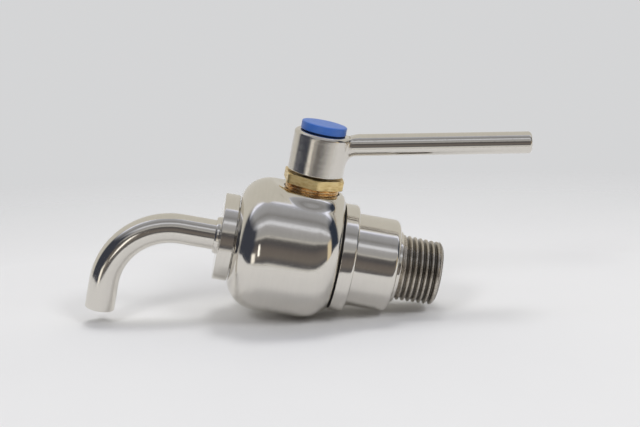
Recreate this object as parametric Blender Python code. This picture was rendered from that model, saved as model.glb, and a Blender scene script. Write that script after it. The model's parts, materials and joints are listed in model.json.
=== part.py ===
"""Lever-operated ball valve tap: a male pipe thread inlet, a round body and a bent spout.

Frame: origin where the inlet thread leaves its shoulder, on the pipe axis. +X points out of the
inlet, +Z points up along the stem, and the lever lies over +X with the valve open.
Profiles are written in millimetres measured from the centre of the ball: along the pipe axis for
turned parts of the pipe run, and up the stem axis for turned parts of the stem.
"""
import math

import bmesh
import bpy
from mathutils import Matrix, Vector

MM = 0.001
GAP = 0.3                       # between pieces that touch

# Pipe run
SHOULDER_X = 30.7               # inlet shoulder, ahead of the ball
BODY_R = 21.6
BODY_SIDES = 40
BODY_EDGE_R = 9.8               # the body's two rounded shoulders
BODY_FACES = (-21.5, 11.2)
BODY_EDGES_X = (-12.0, 3.1)     # centres of the rounded shoulders
CAVITY_R = 12.2
BORE_R = 6.0
PIPE_SIDES = 32

# Inlet end cap: collar, barrel and R 1/2 thread
COLLAR_R, COLLAR_X = 17.5, (12.1, 16.6)
BARREL_R = 15.0
NECK_R, NECK_END = 11.6, 32.2
THREAD_END = 45.5
THREAD_R = 10.48                # at the gauge plane
GAUGE_LENGTH = 8.2              # from the thread's end to the gauge plane
THREAD_PITCH = 1.814
THREAD_DEPTH = 1.0
THREAD_TAPER = 1 / 32           # on the radius
CAP_SPIGOT_R, CAP_SPIGOT_END = 13.6, 7.0
GASKET_R = 16.9

# Ball and seats
BALL_R = 11.0
SEAT_X = (5.9, 11.2)
SEAT_INNER_R, SEAT_OUTER_R = 6.3, 10.6
SLOT_WIDTH, SLOT_FLOOR = 4.3, 8.3

# Spout
FLANGE_R, FLANGE_X = 14.0, (-26.5, -21.8)
FLANGE_SPIGOT_R, FLANGE_SPIGOT_END = 10.0, -14.8
SPOUT_R, SPOUT_BORE_R = 4.8, 4.0
SPOUT_START, BEND_START = -20.5, -38.4
BEND_R = 21.8
SPOUT_DROP = -30.7
SPOUT_SIDES = 16

# Stem and gland
STEM_R = 4.5
STEM_HOLE_R = STEM_R + GAP
SHOULDER_R, STEM_SHOULDER_Z = 6.0, (11.3, 13.3)
SQUARE = 6.3
SQUARE_Z = (26.0, 31.5)
GROOVE_Z = (22.6, 24.2)         # O-ring groove
PACKING_R = 6.5
PACKING_Z, PACKING_H = 15.8, 1.1
PACKING_RINGS = ("lower", "middle", "upper")
NUT_THREAD_R, NUT_THREAD_DEPTH, NUT_PITCH = 8.6, 0.5, 1.0
NUT_HEX_FLATS = 18.0
NUT_HEX_TURN = math.radians(34)  # first corner, measured from +X
NUT_Z = (16.5, 22.5, 25.6)      # foot, underside of the hexagon, top
BOSS_R, BOSS_ROOT = 10.3, 15.5  # raised boss round the gland nut
SPOT_FACE_R, SPOT_FACE_Z = 10.8, 20.5
STOP_PIN_R, STOP_PIN_Z = 0.7, 12.3
STOP_PIN_Y = (5.4, 9.4)
PIN_SIDES = 12
STEM_SIDES = 24
SEAL_SIDES = 20

# Handle
HUB_R, HUB_Z = 9.0, (26.3, 39.4)
HUB_EDGE_R = 1.2
HUB_FLOOR, HUB_POCKET_R = 32.0, 6.0
ROD_R = 3.52
ROD_SLOPE = math.radians(11.5)
ROD_ROOT = (12.8, 37.5)         # where the rod's centre line leaves the neck
ROD_END_X = 66.0
NECK_FILLET = 3.4               # height of the fillet under the neck
NECK_INNER = 0.8                # how deep the neck is rooted in the hub's wall, as a share of its radius
ROD_SPIGOT_R, ROD_SPIGOT_LENGTH = 2.0, 3.0
CAP_R, CAP_Z = 7.25, (39.75, 42.3)
CAP_LEAN = (math.radians(-2.0), math.radians(0.6))
SCREW_R, SCREW_FOOT = 2.0, 25.1
SCREW_HEAD_R, SCREW_HEAD_Z = 3.7, (34.8, 37.0)

BALL_X = -SHOULDER_X            # the ball's centre, and so the stem axis, in the part's frame


def remove_everything():
    for obj in list(bpy.data.objects):
        bpy.data.objects.remove(obj, do_unlink=True)


def material(name, colour, roughness, metallic):
    """A plain surface that differs between pieces only in its colour, roughness and metallic value."""
    mat = bpy.data.materials.new(name)
    mat.use_nodes = True
    shader = mat.node_tree.nodes["Principled BSDF"]
    shader.inputs["Base Color"].default_value = (*colour, 1.0)
    shader.inputs["Roughness"].default_value = roughness
    shader.inputs["Metallic"].default_value = metallic
    return mat


def place(mesh, name, mat, parent=None):
    """Wrap a mesh, drawn in millimetres about the ball's centre, in an object of its own."""
    mesh.transform(Matrix.Scale(MM, 4))
    obj = bpy.data.objects.new(name, mesh)
    bpy.context.scene.collection.objects.link(obj)
    if parent is None:
        obj.location.x = BALL_X * MM
    else:
        obj.parent = parent
    if mat is not None:
        mesh.materials.append(mat)
        mesh.shade_smooth()
        mesh.set_sharp_from_angle(angle=math.radians(30))
    return obj


def finish_mesh(bm, name):
    bmesh.ops.remove_doubles(bm, verts=bm.verts, dist=1e-4)
    bmesh.ops.recalc_face_normals(bm, faces=bm.faces)
    mesh = bpy.data.meshes.new(name)
    bm.to_mesh(mesh)
    bm.free()
    return mesh


def turned_mesh(name, outline, axis, sides):
    """Spin an outline of (along, radius) points about X or Z. It closes unless both ends meet the axis."""
    bm = bmesh.new()
    if axis == "X":
        points = [(along, 0, radius) for along, radius in outline]
        direction = (1, 0, 0)
    else:
        points = [(radius, 0, along) for along, radius in outline]
        direction = (0, 0, 1)
    verts = [bm.verts.new(point) for point in points]
    edges = [bm.edges.new(pair) for pair in zip(verts, verts[1:])]
    if outline[0][1] > 0 or outline[-1][1] > 0:
        edges.append(bm.edges.new((verts[-1], verts[0])))
    bmesh.ops.spin(bm, geom=verts + edges, cent=(0, 0, 0), axis=direction,
                   angle=math.tau, steps=sides, use_duplicate=False)
    return finish_mesh(bm, name)


def turned(name, outline, axis, mat, sides=STEM_SIDES, parent=None):
    return place(turned_mesh(name, outline, axis, sides), name, mat, parent)


def arc(centre, radius, start, end, steps):
    """Points of an arc in (along, radius), with angles in degrees from the along direction."""
    along, out = centre
    angles = [math.radians(start + (end - start) * i / steps) for i in range(steps + 1)]
    return [(along + radius * math.cos(a), out + radius * math.sin(a)) for a in angles]


def box_mesh(name, low, high):
    bm = bmesh.new()
    size = Vector(high) - Vector(low)
    centre = (Vector(high) + Vector(low)) / 2
    bmesh.ops.create_cube(bm, size=1, matrix=Matrix.Translation(centre) @ Matrix.Diagonal((*size, 1)))
    return finish_mesh(bm, name)


def prism_mesh(name, outline, low, high):
    """Extrude an outline of (x, y) points from z = low to z = high."""
    bm = bmesh.new()
    face = bm.faces.new([bm.verts.new((x, y, low)) for x, y in outline])
    top = bmesh.ops.extrude_face_region(bm, geom=[face])["geom"]
    bmesh.ops.translate(bm, vec=(0, 0, high - low),
                        verts=[item for item in top if isinstance(item, bmesh.types.BMVert)])
    return finish_mesh(bm, name)


def polygon(radius, sides, turn=0.0):
    angles = [turn + math.tau * i / sides for i in range(sides)]
    return [(radius * math.cos(a), radius * math.sin(a)) for a in angles]


def boolean(obj, mesh, operation="DIFFERENCE", matrix=None):
    """Combine an object with a hidden tool body, drawn in the object's own frame."""
    tool = place(mesh, f"{obj.name}_tool_{len(obj.modifiers)}", None, obj)
    if matrix is not None:
        tool.matrix_local = matrix
    tool.hide_render = True
    tool.display_type = "WIRE"
    cut = obj.modifiers.new(tool.name, "BOOLEAN")
    cut.operation = operation
    cut.object = tool


# ---------------------------------------------------------------- pipe run

def make_body(mat):
    left, right = BODY_EDGES_X
    crown = BODY_R - BODY_EDGE_R
    left_start = 180 - math.degrees(math.acos((left - BODY_FACES[0]) / BODY_EDGE_R))
    right_end = math.degrees(math.acos((BODY_FACES[1] - right) / BODY_EDGE_R))
    outline = [(BODY_FACES[0], FLANGE_SPIGOT_R + GAP)]
    outline += arc((left, crown), BODY_EDGE_R, left_start, 90, 5)
    outline += arc((right, crown), BODY_EDGE_R, 90, right_end, 5)
    outline += [
        (BODY_FACES[1], CAP_SPIGOT_R + GAP), (CAP_SPIGOT_END - GAP, CAP_SPIGOT_R + GAP),
        (CAP_SPIGOT_END - GAP, CAVITY_R), (-SEAT_X[0] + GAP, CAVITY_R),
        (-SEAT_X[0] + GAP, SEAT_OUTER_R + GAP), (-SEAT_X[1] - GAP, SEAT_OUTER_R + GAP),
        (-SEAT_X[1] - GAP, BORE_R), (FLANGE_SPIGOT_END + GAP, BORE_R),
        (FLANGE_SPIGOT_END + GAP, FLANGE_SPIGOT_R + GAP),
    ]
    body = turned("body", outline, "X", mat, sides=BODY_SIDES)
    boss = [(BOSS_ROOT, 0), (BOSS_ROOT, BOSS_R), (BODY_R + 1, BOSS_R), (BODY_R + 1, 0)]
    boolean(body, turned_mesh("boss", boss, "Z", STEM_SIDES), "UNION")
    web = (STEM_SHOULDER_Z[1] + 1.0, PACKING_Z - GAP)
    gland_floor = NUT_Z[0] - GAP
    stem_bore = [
        (0, 0), (0, SHOULDER_R + GAP), (web[0], SHOULDER_R + GAP), (web[0], STEM_HOLE_R),
        (web[1], STEM_HOLE_R), (web[1], PACKING_R + GAP), (gland_floor, PACKING_R + GAP),
        (gland_floor, NUT_THREAD_R + GAP), (SPOT_FACE_Z, NUT_THREAD_R + GAP),
        (SPOT_FACE_Z, SPOT_FACE_R), (BODY_R + 2, SPOT_FACE_R), (BODY_R + 2, 0),
    ]
    boolean(body, turned_mesh("stem_bore", stem_bore, "Z", STEM_SIDES))
    hole_r, hole_end = STOP_PIN_R + GAP, STOP_PIN_Y[1] + GAP
    pin_hole = [(0, 0), (0, hole_r), (hole_end, hole_r), (hole_end, 0)]
    boolean(body, turned_mesh("pin_hole", pin_hole, "Z", PIN_SIDES), matrix=pin_axis())


def pin_axis():
    """Lay a Z-axis part along +Y at the height of the stop pin."""
    return Matrix.Translation((0, 0, STOP_PIN_Z * MM)) @ Matrix.Rotation(math.radians(-90), 4, "X")


def make_spout_flange(mat):
    """Round flange with a spigot in the body, and the weld ring that holds the spout."""
    outer, inner = FLANGE_X
    edge = 0.4
    socket = SPOUT_R + GAP
    turned("spout_flange", [
        (SPOUT_START + GAP, socket), (outer - 1.2, socket), (outer - 1.4, socket + 0.4),
        (outer - 0.9, socket + 0.8), (outer, socket + 0.9), (outer, FLANGE_R - edge),
        (outer + edge, FLANGE_R), (inner - edge, FLANGE_R), (inner, FLANGE_R - edge),
        (inner, FLANGE_SPIGOT_R), (FLANGE_SPIGOT_END, FLANGE_SPIGOT_R),
        (FLANGE_SPIGOT_END, SPOUT_BORE_R), (SPOUT_START + GAP, SPOUT_BORE_R),
    ], "X", mat, sides=PIPE_SIDES)


def spout_stations():
    """Points and directions down the middle of the spout, from the flange to the outlet."""
    stations = [((SPOUT_START, 0, 0), (-1, 0, 0))]
    steps = 10
    for i in range(steps + 1):
        turn = math.radians(90 * i / steps)
        point = (BEND_START - BEND_R * math.sin(turn), 0, BEND_R * (math.cos(turn) - 1))
        stations.append((point, (-math.cos(turn), 0, -math.sin(turn))))
    stations.append(((BEND_START - BEND_R, 0, SPOUT_DROP), (0, 0, -1)))
    return stations


def ring_of_verts(bm, centre, direction, radius, sides):
    """A circle about a point of the XZ plane, square to a direction in that plane."""
    across = Vector((0, 1, 0))
    up = across.cross(Vector(direction))
    verts = []
    for i in range(sides):
        angle = math.tau * i / sides
        verts.append(bm.verts.new(Vector(centre) + radius * (math.cos(angle) * across + math.sin(angle) * up)))
    return verts


def bridge(bm, first, second):
    for i, corner in enumerate(first):
        following = (i + 1) % len(first)
        bm.faces.new((corner, first[following], second[following], second[i]))


def make_spout_tube(mat):
    bm = bmesh.new()
    walls = [[ring_of_verts(bm, point, direction, radius, SPOUT_SIDES)
              for point, direction in spout_stations()] for radius in (SPOUT_R, SPOUT_BORE_R)]
    for rings in walls:
        for first, second in zip(rings, rings[1:]):
            bridge(bm, first, second)
    for end in (0, -1):
        bridge(bm, walls[0][end], walls[1][end])
    place(finish_mesh(bm, "spout_tube"), "spout_tube", mat)


def thread_radius(along):
    gauge_plane = THREAD_END - GAUGE_LENGTH
    return THREAD_R - (along - gauge_plane) * THREAD_TAPER


def make_end_cap(mat):
    """Collar, barrel and spigot in one piece with the tapered thread, which is a true helix."""
    run_out = 0.9
    chamfer = 0.8
    start, end = NECK_END, THREAD_END - chamfer
    sides = PIPE_SIDES
    form = ((0.0, 0.0), (0.12, 0.0), (0.5, 1.0), (0.62, 1.0))    # (share of pitch, share of depth)
    bm = bmesh.new()
    known = {}

    def vert(along, radius, column):
        key = (round(along, 4), round(radius, 4), column % sides)
        if key not in known:
            angle = math.tau * (column % sides) / sides
            known[key] = bm.verts.new((along, radius * math.sin(angle), radius * math.cos(angle)))
        return known[key]

    def skin(grid):
        for first, second in zip(grid, grid[1:]):
            for column in range(sides):
                corners = [first[column], first[column + 1], second[column + 1], second[column]]
                corners = [v for i, v in enumerate(corners) if v not in corners[:i]]
                if len(corners) > 2:
                    bm.faces.new(corners)

    def thread_vert(turn, share, depth, column):
        along = start + THREAD_PITCH * (turn + share + column / sides)
        along = min(max(along, start), end)
        fade = min(1.0, (along - start) / run_out, (end - along) / run_out)
        return vert(along, thread_radius(along) - THREAD_DEPTH * depth * fade, column)

    turns = math.ceil((end - start) / THREAD_PITCH) + 1
    skin([[thread_vert(turn, share, depth, column) for column in range(sides + 1)]
          for turn in range(-1, turns) for share, depth in form])

    edge = 0.9
    barrel_edge = 1.8
    rest = [(end, thread_radius(end)), (THREAD_END, thread_radius(end) - chamfer), (THREAD_END, BORE_R),
            (SEAT_X[1] + GAP, BORE_R), (SEAT_X[1] + GAP, SEAT_OUTER_R + GAP),
            (CAP_SPIGOT_END, SEAT_OUTER_R + GAP), (CAP_SPIGOT_END, CAP_SPIGOT_R),
            (COLLAR_X[0], CAP_SPIGOT_R), (COLLAR_X[0], COLLAR_R - 0.3), (COLLAR_X[0] + 0.3, COLLAR_R)]
    rest += arc((COLLAR_X[1] - edge, COLLAR_R - edge), edge, 90, 0, 2)
    rest += [(COLLAR_X[1], BARREL_R)]
    rest += arc((SHOULDER_X - barrel_edge, BARREL_R - barrel_edge), barrel_edge, 90, 0, 3)
    rest += [(SHOULDER_X, NECK_R), (NECK_END - 0.4, NECK_R), (start, thread_radius(start))]
    skin([[vert(along, radius, column) for column in range(sides + 1)] for along, radius in rest])
    place(finish_mesh(bm, "end_cap"), "end_cap", mat)


def make_gasket(mat):
    low, high = BODY_FACES[1] + GAP, COLLAR_X[0] - GAP
    outline = ring_outline(low, high, CAP_SPIGOT_R + 2 * GAP, GASKET_R)
    turned("body_gasket", outline, "X", mat, sides=PIPE_SIDES)


def ring_outline(low, high, inner, outer):
    return [(low, inner), (low, outer), (high, outer), (high, inner)]


def make_seat(name, side, mat):
    """Seat ring whose hollow face follows the ball. side is +1 at the inlet and -1 at the spout."""
    cup = BALL_R + GAP
    start = math.degrees(math.asin(SEAT_INNER_R / cup))
    end = math.degrees(math.acos(SEAT_X[0] / cup))
    outline = arc((0, 0), cup, start, end, 4)
    outline += [(SEAT_X[0], SEAT_OUTER_R), (SEAT_X[1], SEAT_OUTER_R), (SEAT_X[1], SEAT_INNER_R)]
    turned(name, [(side * along, radius) for along, radius in outline], "X", mat)


# ---------------------------------------------------------------- stem and gland

def make_packing(mat):
    """Three chevron rings, each nested on the one below."""
    rise = 0.25
    middle = (STEM_HOLE_R + PACKING_R) / 2
    for level, which in enumerate(PACKING_RINGS):
        low = PACKING_Z + level * (PACKING_H + GAP)
        high = low + PACKING_H - rise
        turned(f"packing_ring_{which}", [
            (low, STEM_HOLE_R), (low + rise, middle), (low, PACKING_R),
            (high, PACKING_R), (high + rise, middle), (high, STEM_HOLE_R),
        ], "Z", mat, sides=SEAL_SIDES)


def gland_z():
    low = PACKING_Z + len(PACKING_RINGS) * (PACKING_H + GAP)
    return low, low + 1.0


def make_thrust_washer(mat):
    low = STEM_SHOULDER_Z[1] + 0.2
    turned("thrust_washer", ring_outline(low, low + 0.5, STEM_HOLE_R, SHOULDER_R), "Z", mat, sides=SEAL_SIDES)


def make_gland_ring(mat):
    turned("gland_ring", ring_outline(*gland_z(), STEM_HOLE_R, PACKING_R), "Z", mat, sides=SEAL_SIDES)


def make_packing_nut(mat):
    """Gland nut: a hexagon above a male thread, drawn as ring grooves."""
    foot, under_hex, top = NUT_Z
    corner = NUT_HEX_FLATS / 2 / math.cos(math.pi / 6)
    root = NUT_THREAD_R - NUT_THREAD_DEPTH
    ceiling = gland_z()[1] + GAP
    outline = [(ceiling, STEM_HOLE_R), (ceiling, PACKING_R + GAP), (foot, PACKING_R + GAP), (foot, root)]
    outline += [(foot + 0.5, NUT_THREAD_R)]
    for groove in range(4):
        low = under_hex - (4 - groove) * NUT_PITCH
        outline += [(low, NUT_THREAD_R), (low + 0.4, root), (low + 0.7, NUT_THREAD_R)]
    chamfer = 0.3
    outline += [(under_hex, NUT_THREAD_R), (under_hex, corner), (top - chamfer, corner),
                (top, corner - 2 * chamfer), (top, STEM_HOLE_R)]
    nut = turned("packing_nut", outline, "Z", mat)
    hexagon = polygon(corner, 6, NUT_HEX_TURN)
    boolean(nut, prism_mesh("wrench_flats", polygon(corner + 6, 6, NUT_HEX_TURN), under_hex - 0.05, top + 1))
    collar = nut.modifiers[0].object
    boolean(collar, prism_mesh("hexagon", hexagon, under_hex - 1, top + 2))


def make_stop_pin(mat):
    tip, end = STOP_PIN_Y
    pin = turned("stop_pin", [(tip, 0), (tip, STOP_PIN_R), (end, STOP_PIN_R), (end, 0)], "Z", mat,
                 sides=PIN_SIDES)
    pin.matrix_local = Matrix.Translation((BALL_X * MM, 0, 0)) @ pin_axis()


def make_ball(mat, pivot):
    opening = math.degrees(math.asin(BORE_R / BALL_R))
    outline = arc((0, 0), BALL_R, opening, 180 - opening, 12)
    ball = turned("ball", outline, "X", mat, parent=pivot)
    half = SLOT_WIDTH / 2
    boolean(ball, box_mesh("slot", (-half, -BALL_R - 1, SLOT_FLOOR), (half, BALL_R + 1, BALL_R + 1)))


def make_stem(mat, pivot):
    """Stem: tang in the ball, shoulder with the stop notch, O-ring groove, square and tapped hole."""
    tang = (SLOT_FLOOR + GAP, 4.0, SLOT_WIDTH / 2 - GAP)     # foot, half length, half thickness
    groove = (*GROOVE_Z, 3.4)                                 # low, high, floor radius
    hole = (SCREW_FOOT - 2 * GAP, SCREW_R + GAP)              # floor, radius
    stem = turned("stem", [
        (tang[0], 0), (tang[0], tang[1]), (STEM_SHOULDER_Z[0], tang[1]), (STEM_SHOULDER_Z[0], SHOULDER_R),
        (STEM_SHOULDER_Z[1], SHOULDER_R), (STEM_SHOULDER_Z[1], STEM_R), (groove[0], STEM_R),
        (groove[0], groove[2]), (groove[1], groove[2]), (groove[1], STEM_R), (SQUARE_Z[1], STEM_R),
        (SQUARE_Z[1], hole[1]), (hole[0], hole[1]), (hole[0], 0),
    ], "Z", mat, parent=pivot)
    reach = SHOULDER_R + 2
    for side in (-1, 1):
        low, high = sorted((side * tang[2], side * reach))
        boolean(stem, box_mesh("tang_side", (low, -reach, tang[0] - 1), (high, reach, STEM_SHOULDER_Z[0])))
    for quarter in range(4):
        flat = box_mesh("square_side", (SQUARE / 2, -reach, SQUARE_Z[0]), (reach, reach, SQUARE_Z[1] + 1))
        flat.transform(Matrix.Rotation(math.radians(90 * quarter), 4, "Z"))
        boolean(stem, flat)
    notch_r = 5.0
    spare = math.degrees((STOP_PIN_R + GAP) / notch_r)
    steps = 8
    angles = [math.radians(90 - spare + (90 + 2 * spare) * i / steps) for i in range(steps + 1)]
    notch = [(notch_r * math.cos(a), notch_r * math.sin(a)) for a in angles]
    notch += [(reach * math.cos(a), reach * math.sin(a)) for a in reversed(angles)]
    boolean(stem, prism_mesh("stop_notch", notch, STEM_SHOULDER_Z[0] - 0.1, STEM_SHOULDER_Z[1] + 0.1))


def make_stem_o_ring(mat, pivot):
    section_r, ring_r = 0.45, 3.95
    turned("stem_o_ring", arc((sum(GROOVE_Z) / 2, ring_r), section_r, 0, 315, 7), "Z", mat, sides=SEAL_SIDES,
           parent=pivot)


# ---------------------------------------------------------------- handle

def neck_mesh():
    """Neck from the rod to the hub. Each strand runs along the rod's side and then turns onto the hub's wall."""
    strands = 16
    steps = 4
    forward = Vector((math.cos(ROD_SLOPE), 0, math.sin(ROD_SLOPE)))
    root = Vector((ROD_ROOT[0], 0, ROD_ROOT[1]))
    up = forward.cross(Vector((0, 1, 0)))
    bm = bmesh.new()
    rings = [[] for _ in range(steps + 3)]
    for i in range(strands):
        angle = math.tau * i / strands
        offset = Vector((0, 1, 0)) * ROD_R * math.cos(angle) + up * ROD_R * math.sin(angle)
        start = root + offset
        reach = (start.x - math.sqrt(HUB_R ** 2 - start.y ** 2)) / forward.x
        corner = start - forward * reach
        fillet = NECK_FILLET * (1 - math.sin(angle)) / 2 + 0.6
        wall_y = corner.y + fillet * 0.6 * math.cos(angle)
        wall_z = min(corner.z + fillet * math.sin(angle), HUB_Z[1] - HUB_EDGE_R - 0.1)
        wall = Vector((math.sqrt(HUB_R ** 2 - wall_y ** 2), wall_y, wall_z))
        blend_start = corner + forward * min(reach * 0.9, fillet * 0.7)
        rings[0].append(bm.verts.new(start))
        for step in range(steps + 1):
            t = step / steps
            point = blend_start * (1 - t) ** 2 + corner * (2 * t * (1 - t)) + wall * t ** 2
            rings[step + 1].append(bm.verts.new(point))
        inward = Vector((wall.x * NECK_INNER, wall.y * NECK_INNER, wall.z))
        rings[-1].append(bm.verts.new(inward))
    for first, second in zip(rings, rings[1:]):
        bridge(bm, first, second)
    for end in (rings[0], rings[-1]):
        bm.faces.new(end)
    return finish_mesh(bm, "neck")


def make_handle_hub(mat, pivot):
    foot_edge = 0.3
    outline = [(HUB_Z[0], 0), (HUB_Z[0], HUB_R - foot_edge), (HUB_Z[0] + foot_edge, HUB_R)]
    outline += arc((HUB_Z[1] - HUB_EDGE_R, HUB_R - HUB_EDGE_R), HUB_EDGE_R, 90, 0, 3)
    outline += [(HUB_Z[1], 0)]
    hub = turned("handle_hub", outline, "Z", mat, parent=pivot)

    boolean(hub, neck_mesh(), "UNION")
    pocket = [(HUB_FLOOR, 0), (HUB_FLOOR, HUB_POCKET_R), (HUB_Z[1] + 2, HUB_POCKET_R), (HUB_Z[1] + 2, 0)]
    boolean(hub, turned_mesh("pocket", pocket, "Z", STEM_SIDES))
    half = SQUARE / 2 + GAP
    boolean(hub, box_mesh("square_hole", (-half, -half, HUB_Z[0] - 1), (half, half, HUB_FLOOR + 1)))
    socket = ROD_SPIGOT_LENGTH + 2 * GAP
    outline = [(-socket, 0), (-socket, ROD_SPIGOT_R + GAP), (1, ROD_SPIGOT_R + GAP), (1, 0)]
    boolean(hub, turned_mesh("rod_socket", outline, "Z", 16), matrix=rod_axis())


def rod_axis():
    """Lay a Z-axis part along the rod, starting where the rod leaves the neck."""
    tilt = Matrix.Rotation(math.radians(90) - ROD_SLOPE, 4, "Y")
    return Matrix.Translation((ROD_ROOT[0] * MM, 0, ROD_ROOT[1] * MM)) @ tilt


def make_handle_rod(mat, pivot):
    length = (ROD_END_X - ROD_ROOT[0]) / math.cos(ROD_SLOPE)
    edge = 1.0
    outline = [(-ROD_SPIGOT_LENGTH, 0), (-ROD_SPIGOT_LENGTH, ROD_SPIGOT_R), (GAP, ROD_SPIGOT_R), (GAP, ROD_R)]
    outline += arc((length - edge, ROD_R - edge), edge, 90, 0, 3)
    outline += [(length, 0)]
    rod = turned("handle_rod", outline, "Z", mat, sides=SEAL_SIDES, parent=pivot)
    rod.matrix_local = rod_axis()


def make_washers(mat, spring_mat, pivot):
    inner = SCREW_R + GAP
    plain_r, plain_h = 5.2, 0.8
    spring_r, spring_h, half_split = 4.0, 1.1, 0.4
    low = HUB_FLOOR + GAP
    turned("plain_washer", ring_outline(low, low + plain_h, inner, plain_r), "Z", mat, sides=SEAL_SIDES,
           parent=pivot)
    low += plain_h + GAP
    spring = turned("spring_washer", ring_outline(low, low + spring_h, inner, spring_r), "Z", spring_mat,
                    parent=pivot)
    split = box_mesh("split", (0, -half_split, low - 1), (spring_r + 1, half_split, low + spring_h + 1))
    boolean(spring, split)


def make_screw(mat, pivot):
    low, high = SCREW_HEAD_Z
    socket_flats, socket_depth = 2.5, 1.4
    edge = 0.5
    screw = turned("handle_screw", [
        (SCREW_FOOT, 0), (SCREW_FOOT, SCREW_R), (low, SCREW_R), (low, SCREW_HEAD_R),
        (high - edge, SCREW_HEAD_R), (high, SCREW_HEAD_R - edge), (high, 0),
    ], "Z", mat, sides=SEAL_SIDES, parent=pivot)
    hexagon = polygon(socket_flats / 2 / math.cos(math.pi / 6), 6)
    boolean(screw, prism_mesh("hex_socket", hexagon, high - socket_depth, high + 1))


def make_cap(mat, pivot):
    """Push-in plug over the screw. It sits slightly askew, as pressed-in caps do."""
    edge = 0.4
    skirt = (-3.15, 4.3, HUB_POCKET_R - GAP)                 # foot, inner and outer radius
    high = CAP_Z[1] - CAP_Z[0]
    outline = [(high, 0), (high, CAP_R - edge), (high - edge, CAP_R), (0, CAP_R), (0, skirt[2]),
               (skirt[0], skirt[2]), (skirt[0], skirt[1]), (0, skirt[1]), (0, 0)]
    cap = turned("cap", outline, "Z", mat, parent=pivot)
    cap.location.z = CAP_Z[0] * MM
    cap.rotation_euler = (*CAP_LEAN, 0)


def build():
    remove_everything()
    polished = material("polished_steel", (0.62, 0.61, 0.58), 0.08, 1.0)
    brushed = material("brushed_steel", (0.55, 0.54, 0.52), 0.3, 1.0)
    threaded = material("machined_steel", (0.45, 0.43, 0.40), 0.35, 1.0)
    make_body(polished)
    make_spout_flange(polished.copy())
    make_spout_tube(polished.copy())
    make_end_cap(polished.copy())
    make_gasket(material("black_rubber", (0.02, 0.02, 0.02), 0.7, 0.0))
    seat = material("seat_plastic", (0.85, 0.85, 0.82), 0.5, 0.0)
    make_seat("front_seat", -1, seat)
    make_seat("rear_seat", 1, seat.copy())
    make_thrust_washer(seat.copy())
    make_packing(seat.copy())
    make_gland_ring(threaded)
    make_packing_nut(material("brass", (0.55, 0.40, 0.16), 0.3, 1.0))
    make_stop_pin(threaded.copy())

    pivot = bpy.data.objects.new("stem_axis", None)
    bpy.context.scene.collection.objects.link(pivot)
    pivot.location = (BALL_X * MM, 0, 0)
    make_ball(polished.copy(), pivot)
    make_stem(threaded.copy(), pivot)
    make_stem_o_ring(material("o_ring_rubber", (0.03, 0.03, 0.03), 0.6, 0.0), pivot)
    make_handle_hub(brushed, pivot)
    make_handle_rod(polished.copy(), pivot)
    make_washers(threaded.copy(), threaded.copy(), pivot)
    make_screw(threaded.copy(), pivot)
    make_cap(material("blue_plastic", (0.04, 0.13, 0.50), 0.45, 0.0), pivot)


build()
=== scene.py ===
"""Looks for the lever-operated ball valve tap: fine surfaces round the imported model, and a plain studio.

Turned surfaces are drawn in millimetres from the centre of the ball, as an outline of
(along, out) points swept round a path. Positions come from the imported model's boxes.
"""
import json
import math

import bmesh
import bpy
from mathutils import Matrix, Vector


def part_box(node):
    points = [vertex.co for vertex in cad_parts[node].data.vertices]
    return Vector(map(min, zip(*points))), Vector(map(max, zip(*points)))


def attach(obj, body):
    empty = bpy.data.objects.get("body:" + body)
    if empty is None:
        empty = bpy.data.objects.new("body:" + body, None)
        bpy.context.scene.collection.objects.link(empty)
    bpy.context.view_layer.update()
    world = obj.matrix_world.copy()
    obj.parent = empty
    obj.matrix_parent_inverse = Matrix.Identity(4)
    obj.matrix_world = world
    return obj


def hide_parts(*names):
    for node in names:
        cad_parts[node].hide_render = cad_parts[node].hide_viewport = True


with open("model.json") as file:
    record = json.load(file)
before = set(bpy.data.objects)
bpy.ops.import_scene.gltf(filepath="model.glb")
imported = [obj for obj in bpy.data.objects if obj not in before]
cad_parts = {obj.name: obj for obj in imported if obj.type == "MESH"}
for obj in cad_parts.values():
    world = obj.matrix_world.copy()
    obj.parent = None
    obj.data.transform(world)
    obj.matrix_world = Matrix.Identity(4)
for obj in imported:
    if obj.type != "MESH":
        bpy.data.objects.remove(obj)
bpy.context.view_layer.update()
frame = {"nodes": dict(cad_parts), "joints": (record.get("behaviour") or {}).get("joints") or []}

MM = 0.001
VALVE, LEVER = "valve", "lever"
BALL = Vector(frame["joints"][0]["pos_m"])
NODES = frame["nodes"]


def extent(node):
    """A node's lowest and highest corner in millimetres from the centre of the ball."""
    low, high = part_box(node)
    return (Vector(low) - BALL) / MM, (Vector(high) - BALL) / MM


# ---------------------------------------------------------------- sizes in millimetres

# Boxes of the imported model's pieces
BODY_LOW, BODY_HIGH = extent("body")
FLANGE_LOW, FLANGE_HIGH = extent("spout_flange")
SPOUT_LOW, SPOUT_HIGH = extent("spout_tube")
INLET_LOW, INLET_HIGH = extent("end_cap")
GASKET_LOW, GASKET_HIGH = extent("body_gasket")
NUT_LOW, NUT_HIGH = extent("packing_nut")
HUB_LOW, HUB_HIGH = extent("handle_hub")

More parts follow.
